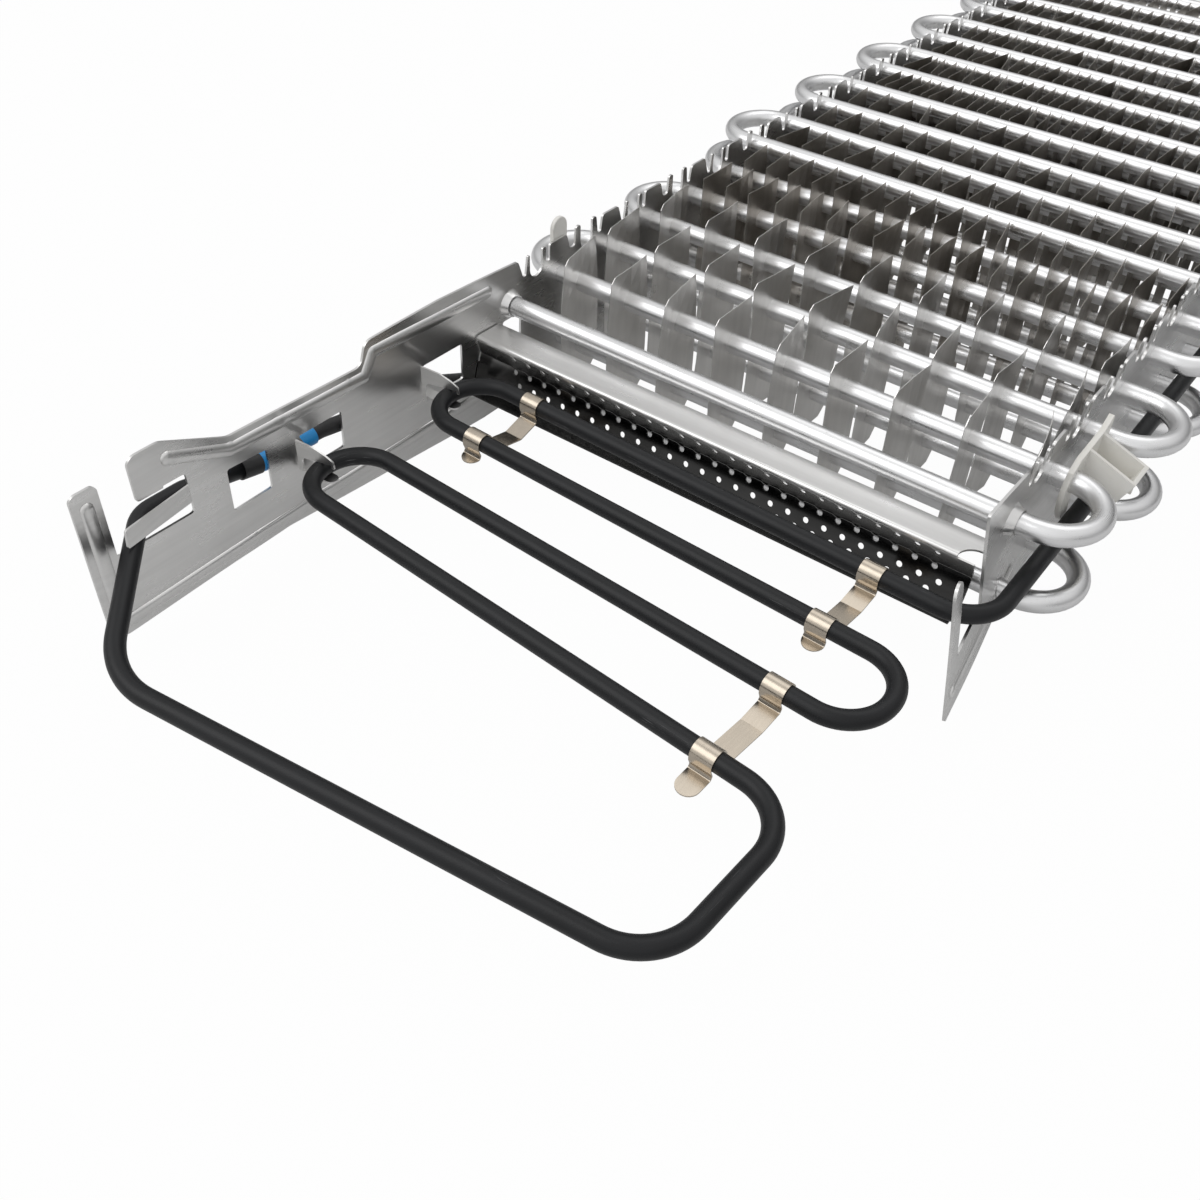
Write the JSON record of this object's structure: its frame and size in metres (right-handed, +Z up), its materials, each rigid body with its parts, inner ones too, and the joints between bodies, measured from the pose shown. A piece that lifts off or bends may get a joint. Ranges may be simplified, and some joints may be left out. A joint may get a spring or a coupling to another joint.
{
  "type": "refrigerator evaporator",
  "caption": "Serpentine aluminium tube in two layers through slotted end plates and thin fins, with a looped defrost heater in front.",
  "frame": {"origin": "middle of the left end plate's foot, on the rest plane, below the first tube's axis", "axes": "+X along the tubes toward the right end plate, +Y from the heater end to the far end of the coil, +Z up"},
  "size_m": [0.2777, 0.8034, 0.0706],
  "materials": {
    "coil_tube": "bright drawn",
    "end_plate": "bright rolled",
    "fin": "bright rolled",
    "strip": "bright rolled",
    "heater": "black with a soft sheen",
    "clip": "nickel plated",
    "heater_end_collar": "matt",
    "heater_end_sleeve": "satin",
    "heater_lead": "matt",
    "holder": "moulded white"
  },
  "bodies": {
    "root": {"coil_tube": "coil_tube", "defrost_heater": "heater", "fin_row_02": "fin", "fin_row_03": "fin", "fin_row_04": "fin", "fin_row_05": "fin", "fin_row_06": "fin", "fin_row_07": "fin", "fin_row_08": "fin", "fin_row_09": "fin", "fin_row_10": "fin", "fin_row_11": "fin", "fin_row_12": "fin", "fin_row_13": "fin", "fin_row_14": "fin", "fin_row_15": "fin", "fin_row_16": "fin", "fin_row_17": "fin", "heater_clip_1": "clip", "heater_clip_2": "clip", "heater_clip_3": "clip", "heater_end_collar_1": "heater_end_collar", "heater_end_collar_2": "heater_end_collar", "heater_end_sleeve_1": "heater_end_sleeve", "heater_end_sleeve_2": "heater_end_sleeve", "heater_lead_1": "heater_lead", "heater_lead_2": "heater_lead", "holder_left": "holder", "holder_right": "holder", "left_end_plate": "end_plate", "perforated_strip": "strip", "right_end_plate": "end_plate"}
  },
  "joints": []
}
